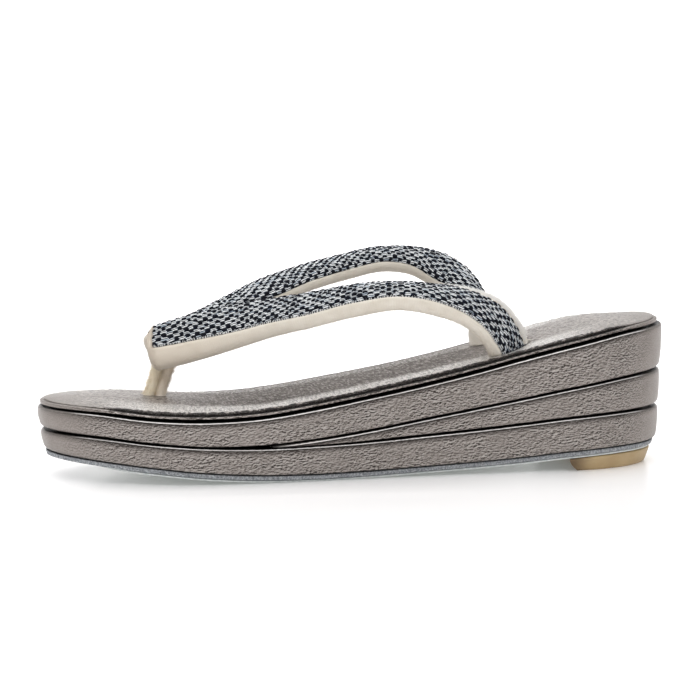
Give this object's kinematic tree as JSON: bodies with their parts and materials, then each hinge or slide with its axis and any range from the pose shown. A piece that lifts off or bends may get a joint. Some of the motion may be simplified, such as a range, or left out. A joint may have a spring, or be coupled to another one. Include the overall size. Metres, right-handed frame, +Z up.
{
  "type": "zori sandal",
  "caption": "Zori sandal with a stacked leather-wrapped wedge sole and a padded two-armed strap faced with woven cloth.",
  "frame": {"origin": "on the floor, under the middle of the sandal's box", "axes": "+X from toe to heel, +Y towards the side that is away from the camera, +Z up"},
  "size_m": [0.2426, 0.082, 0.083],
  "materials": {
    "outsole": "matt grey sheet rubber",
    "tread_sheet": "pale sheet rubber",
    "heel_lift": "smooth tan rubber",
    "lower_core": "crinkled pewter leather",
    "middle_core": "crinkled pewter leather",
    "upper_core": "crinkled pewter leather",
    "insole": "crinkled pewter leather",
    "upper": "off-white velvet",
    "strap_face": "navy and white tweed weave",
    "toe_post": "beige velvet"
  },
  "bodies": {
    "root": {"outsole": "outsole", "tread_sheet": "tread_sheet", "heel_lift": "heel_lift", "lower_core": "lower_core", "middle_core": "middle_core", "upper_core": "upper_core", "insole": "insole", "upper": "upper", "strap_face": "strap_face", "toe_post": "toe_post"}
  },
  "joints": []
}
